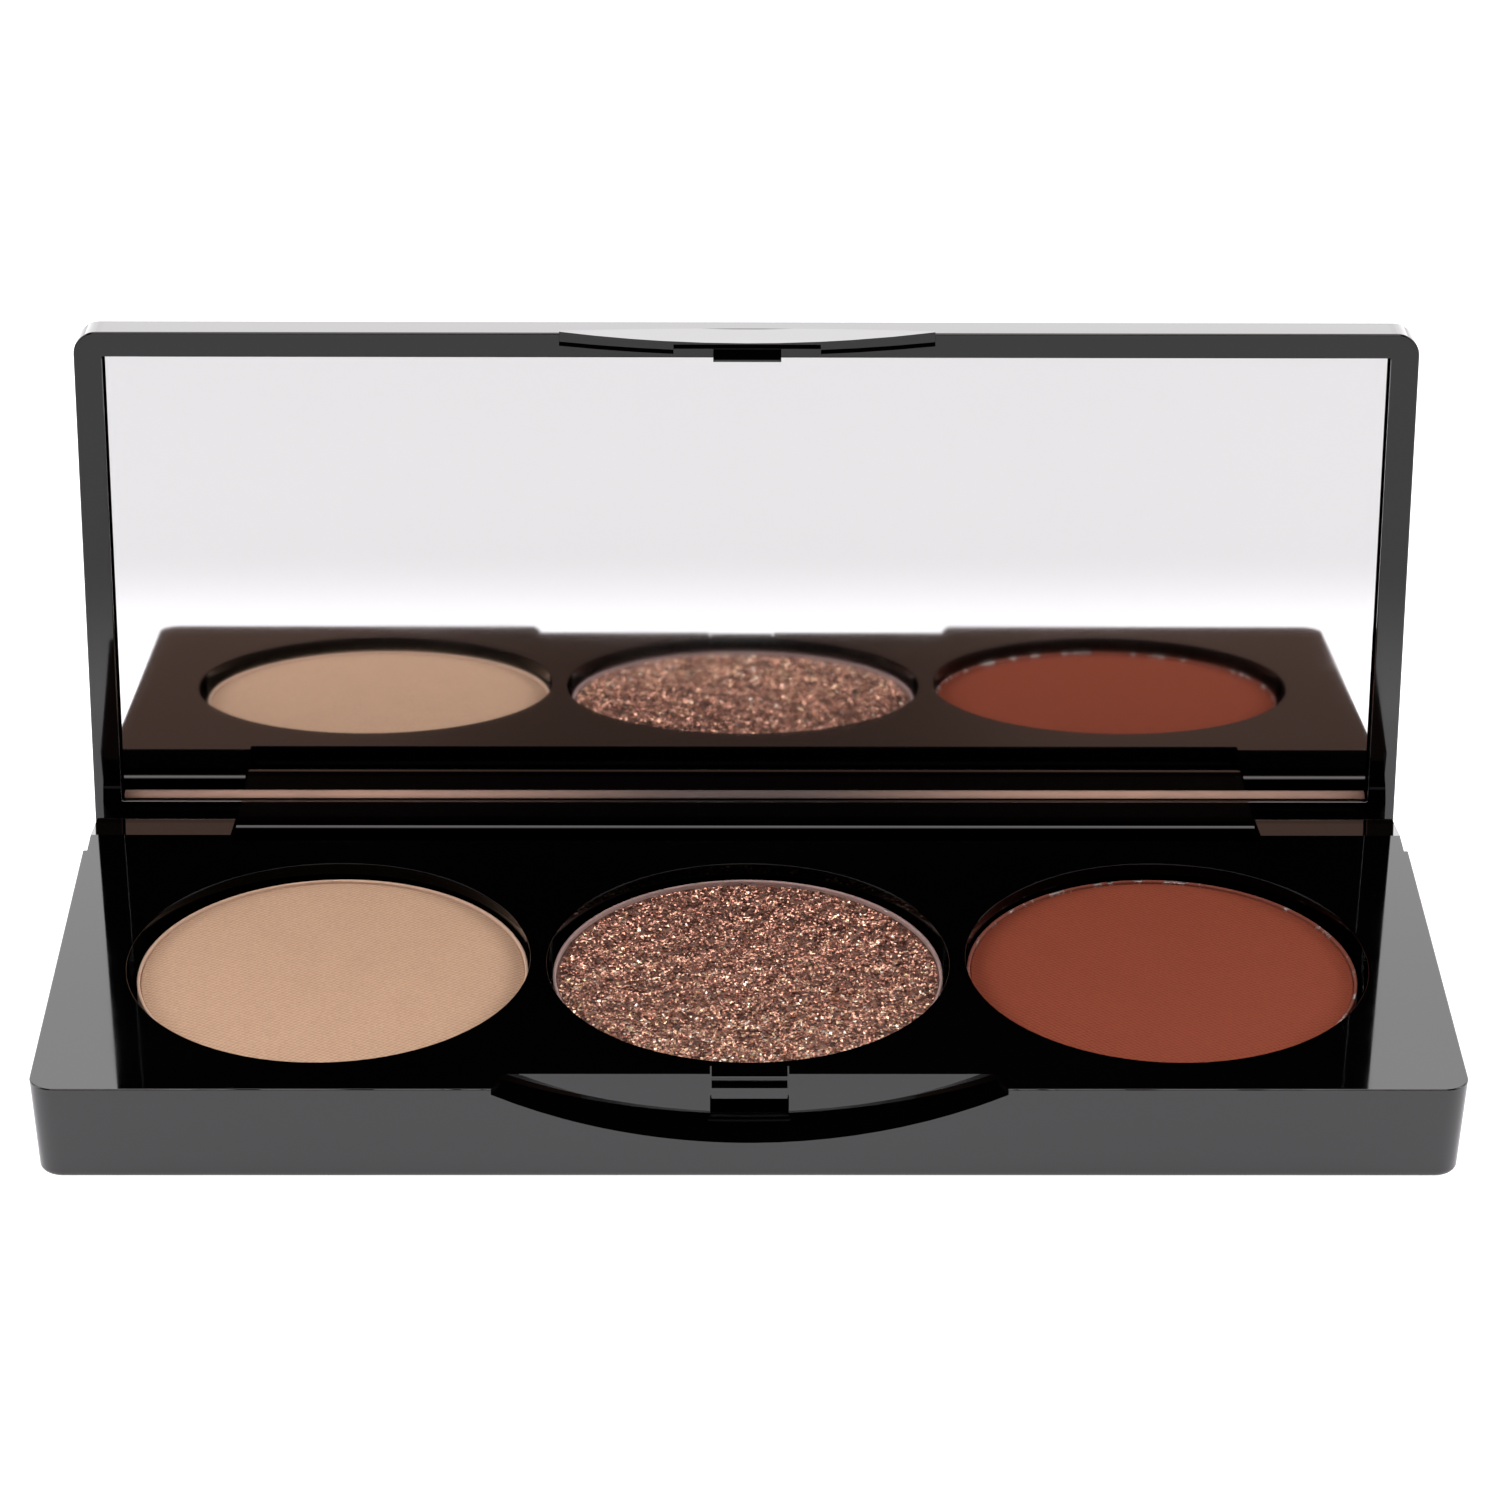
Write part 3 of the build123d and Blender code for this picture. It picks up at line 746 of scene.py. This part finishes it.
class PALETTE_OT_glitter_powder(bpy.types.Operator):
    """Fills the middle pan with coarse bronze glitter.

    The binder is a turned surface with a lumpy face. Each flake is a flattened tetrahedron: a square whose
    alternate corners go up and down, so that it shows two facets from either side. Flakes are scattered
    evenly, tilted at random, and lie on the binder's own height. Clumps are paler. The half nearest the
    front is painted paler and the far half darker: painted shade.
    """

    bl_idname = "palette.glitter_powder"
    bl_label = "Glitter powder"

    def execute(self, context):
        settings = context.scene.palette_powders
        rng = np.random.default_rng(settings.seed + 20)
        low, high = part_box("powder_middle")
        centre, radius = (low + high) / 2, (high.x - low.x) / 2
        sizes = (3.1 * MM, 1.3 * MM, 0.7 * MM)
        waves = [(size, rng.uniform(0, TAU, 7), rng.uniform(0, TAU, 7)) for size in sizes]

        def lumps(x, y):
            """Height of the lumpy face: sums of sine waves, tallest for the widest, calm at the rim."""
            total = np.zeros_like(x)
            for size, turns, phases in waves:
                for turn, phase in zip(turns, phases):
                    total += size * np.sin(TAU / size * (x * np.cos(turn) + y * np.sin(turn)) + phase)
            away = np.clip((radius - np.hypot(x, y)) / (1.0 * MM), 0, 1)
            return total * 0.016 * away - 0.16 * MM * (1 - away)

        face_r = np.linspace(radius - 0.1 * MM, 0, 70)
        radii = np.concatenate([[0, radius * 0.5, radius, radius], face_r])
        top = high.z - 0.22 * MM
        heights = np.concatenate([[low.z, low.z, low.z, top - 0.1 * MM], np.full(len(face_r), top)])

        def lift(r, a):
            """The lumps, on the face only."""
            on_face = np.zeros_like(r)
            on_face[3:] = 1.0
            return on_face * lumps(r * np.cos(a), r * np.sin(a))

        points, faces = turned_surface(radii, heights, 360, centre, lift)
        binder = new_piece("pressed_middle", points, faces, binder_finish(), "case")
        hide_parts("powder_middle")

        points, faces, tint = self.scatter(rng, settings, centre, radius, top, lumps)
        metal = glitter_finish()
        flakes = new_piece("glitter_flakes", points, faces, metal, "case", smooth=False)
        flakes.data.attributes.new("tint", "FLOAT", "POINT").data.foreach_set("value", tint)
        return {"FINISHED"}

    @staticmethod
    def scatter(rng, settings, centre, radius, top, lumps):
        """Flake corners: place + size * (turned and tilted square), with alternate corners up and down."""
        count = settings.flakes
        reach = radius - 0.16 * MM
        spread = reach * np.sqrt(rng.uniform(0, 1, count))
        around = rng.uniform(0, TAU, count)
        x, y = spread * np.cos(around), spread * np.sin(around)
        size = settings.flake_size / 2 * rng.uniform(0.45, 1.0, count)
        z = top + lumps(x, y) + rng.uniform(-0.02, 0.10, count) * MM
        spin = rng.uniform(0, TAU, count)
        tilt = np.abs(rng.normal(0, math.radians(26), count))
        lean = rng.uniform(0, TAU, count)
        normal = np.stack([np.sin(tilt) * np.cos(lean), np.sin(tilt) * np.sin(lean), np.cos(tilt)], axis=-1)
        side = np.stack([np.cos(spin), np.sin(spin), np.zeros(count)], axis=-1)
        side -= normal * np.sum(side * normal, axis=1, keepdims=True)
        side /= np.linalg.norm(side, axis=1, keepdims=True)
        other = np.cross(normal, side)
        place = np.stack([x, y, z], axis=-1)
        bow = 0.13
        corners = np.stack(
            [
                side + normal * bow,
                other - normal * bow,
                -side + normal * bow,
                -other - normal * bow,
            ],
            axis=1,
        )
        points = place[:, None] + corners * size[:, None, None]
        outside = np.hypot(points[..., 0], points[..., 1])
        pull = np.minimum(1.0, (radius - 0.02 * MM) / outside)
        points[..., 0] = points[..., 0] * pull + centre[0]
        points[..., 1] = points[..., 1] * pull + centre[1]
        base = np.arange(count)[:, None] * 4
        # the convex hull of the four corners, faces outwards
        faces = np.concatenate(
            [base + [0, 1, 2], base + [0, 2, 3], base + [0, 3, 1], base + [2, 1, 3]], axis=1
        ).reshape(-1, 3)
        clump = ripple(rng, x, y, (2.3 * MM, 1.1 * MM, 0.7 * MM), 6)
        # painted shade: the -0.16 * y / radius term makes the front flakes paler and the far ones darker
        tint = np.repeat(np.clip(rng.beta(2.2, 2.4, count) + 0.75 * clump - 0.16 * y / radius, 0, 1), 4)
        return points.reshape(-1, 3), faces, tint.astype(np.float32)


class PALETTE_OT_studio(bpy.types.Operator):
    """Lays the pale floor, hangs the lights and sets the camera."""

    bl_idname = "palette.studio"
    bl_label = "Studio"

    def execute(self, context):
        settings = context.scene.palette_studio
        self.floor(settings)
        self.world(context.scene, settings)
        self.lights(settings)
        self.camera(context.scene, settings)
        context.scene.view_settings.view_transform = "Standard"
        return {"FINISHED"}

    @staticmethod
    def floor(settings):
        """A round floor, sunk by FLOOR_SINK * (r / FLOOR_RADIUS)^2, with a painted glow: brightest round the
        palette, less ahead of it.
        """
        rings = np.linspace(0, 1, 24)[1:] ** 2 * FLOOR_RADIUS
        angles = np.arange(96) * TAU / 96
        r, a = np.meshgrid(rings, angles, indexing="ij")
        sunk = -FLOOR_SINK * (r / FLOOR_RADIUS) ** 2
        ring = np.stack([r * np.cos(a), r * np.sin(a), sunk], axis=-1).reshape(-1, 3)
        points = np.concatenate([ring, [[0, 0, 0]]])
        index = np.arange(len(rings) * 96).reshape(len(rings), 96)
        after = np.roll(index, -1, axis=1)
        quads = np.stack([index[:-1], index[1:], after[1:], after[:-1]], axis=-1).reshape(-1, 4)
        fan = np.stack([np.full(96, len(points) - 1), index[0], after[0]], axis=-1)
        mesh = bpy.data.meshes.new("studio_floor")
        mesh.from_pydata(points.tolist(), [], quads.tolist() + fan.tolist())
        material, f = new_finish("studio_floor")
        cloudy = f.noise(0.5, 2.0)
        low = tuple(0.985 * c for c in settings.floor_tone)
        # painted light: full glow behind and within 18 mm ahead of the palette, about a quarter beyond 72 mm
        # ahead
        lit = (f.axis("Y") * -1.0).ramp(0.018, 0.072)
        f.surface(
            Base_Color=f.mix(cloudy, low, tuple(settings.floor_tone)),
            Roughness=cloudy.ramp(0.2, 0.8, 0.55, 0.65),
            Specular_IOR_Level=0.2,
            Emission_Color=f.mix(lit, (1.0, 0.985, 1.03), (0.265, 0.267, 0.272)),
            Emission_Strength=settings.floor_glow,
        )
        mesh.materials.append(material)
        floor = bpy.data.objects.new("studio_floor", mesh)
        bpy.context.scene.collection.objects.link(floor)

    @staticmethod
    def world(scene, settings):
        """Bright wall behind with a strip above it, a softbox high in front, a dim warm room low in front."""
        world = bpy.data.worlds.new("studio_world")
        scene.world = world
        f = Finish(world)
        way = f.node("ShaderNodeTexCoord", output="Generated")
        up = f.node("ShaderNodeSeparateXYZ", None, {"Vector": way}, "Z")
        side = up.out("X")
        back = up.out("Y")
        behind = back.ramp(-0.25, 0.35)
        middle = (side * side).ramp(0.025, 0.06, 1.0, 0.0)
        wall = (1 - up * 0.667) * up.ramp(0.52, 0.64, settings.back_light, 0.0)
        wall = wall + up.ramp(0.48, 0.72, 0.0, settings.back_light) * up.ramp(0.84, 0.9, 1.0, 0.0) * middle
        high = back.ramp(-0.62, -0.56) * back.ramp(-0.46, -0.40, 1.0, 0.0) * up.ramp(0.4, 0.6) * middle
        patches = (side * side).ramp(0.0002, 0.006, 0.6, 1.0)
        front = up.ramp(0.12, 0.5, 1.0, 0.0) * patches * settings.front_light
        glow = f.mix(behind + high, (1.0, 0.6, 0.47), (1.0, 0.985, 0.995))
        strength = behind * wall + (1 - behind) * front + high * settings.overhead_light
        light = f.node("ShaderNodeBackground", None, {"Color": glow, "Strength": strength})
        f.node("ShaderNodeOutputWorld", None, {"Surface": light})

    @staticmethod
    def lights(settings):
        """Two upright softboxes, one each side, aimed at the pans."""
        for name, side in (("left", -1), ("right", 1)):
            lamp = bpy.data.lights.new(f"softbox_{name}", "AREA")
            lamp.shape = "RECTANGLE"
            lamp.size, lamp.size_y = 0.25, 0.45
            lamp.energy = settings.side_light
            box = bpy.data.objects.new(f"softbox_{name}", lamp)
            box.location = (side * 0.55, 0.0, 0.42)
            aim = Vector((0, 0, 0)) - box.location
            box.rotation_euler = aim.to_track_quat("-Z", "Y").to_euler()
            bpy.context.scene.collection.objects.link(box)

    @staticmethod
    def camera(scene, settings):
        """A long lens looking down at the open palette."""
        data = bpy.data.cameras.new("studio_camera")
        data.lens = settings.lens
        data.sensor_width = 36.0
        data.clip_start = 0.01
        data.clip_end = 50.0
        camera = bpy.data.objects.new("studio_camera", data)
        camera.location = settings.camera_place
        level = Matrix.Rotation(-settings.yaw, 3, "Z") @ Matrix.Rotation(math.pi / 2 - settings.pitch, 3, "X")
        camera.rotation_euler = (level @ Matrix.Rotation(settings.roll, 3, "Z")).to_euler()
        scene.collection.objects.link(camera)
        scene.camera = camera


OPERATORS = (
    PALETTE_OT_plastic,
    PALETTE_OT_metal,
    PALETTE_OT_mirror,
    PALETTE_OT_hidden,
    PALETTE_OT_matte_powders,
    PALETTE_OT_glitter_powder,
    PALETTE_OT_studio,
)


class PALETTE_PT_sidebar(bpy.types.Panel):
    """Lists the palette's operators and sizes in the sidebar."""

    bl_idname = "PALETTE_PT_sidebar"
    bl_label = "Eyeshadow palette"
    bl_space_type = "VIEW_3D"
    bl_region_type = "UI"
    bl_category = "Palette"

    def draw(self, context):
        for operator in OPERATORS:
            self.layout.operator(operator.bl_idname)
        for group in ("palette_plastic", "palette_powders", "palette_studio"):
            settings = getattr(context.scene, group)
            for name in settings.__annotations__:
                self.layout.prop(settings, name)


CLASSES = (PlasticSettings, PowderSettings, StudioSettings, *OPERATORS, PALETTE_PT_sidebar)


def register():
    for cls in CLASSES:
        bpy.utils.register_class(cls)
    bpy.types.Scene.palette_plastic = PointerProperty(type=PlasticSettings)
    bpy.types.Scene.palette_powders = PointerProperty(type=PowderSettings)
    bpy.types.Scene.palette_studio = PointerProperty(type=StudioSettings)


def unregister():
    del bpy.types.Scene.palette_plastic
    del bpy.types.Scene.palette_powders
    del bpy.types.Scene.palette_studio
    for cls in reversed(CLASSES):
        bpy.utils.unregister_class(cls)


def main():
    """Builds everything in order."""
    register()
    bpy.ops.palette.plastic()
    bpy.ops.palette.metal()
    bpy.ops.palette.mirror()
    bpy.ops.palette.hidden()
    bpy.ops.palette.matte_powders()
    bpy.ops.palette.glitter_powder()
    bpy.ops.palette.studio()


if __name__ == "__main__":
    main()
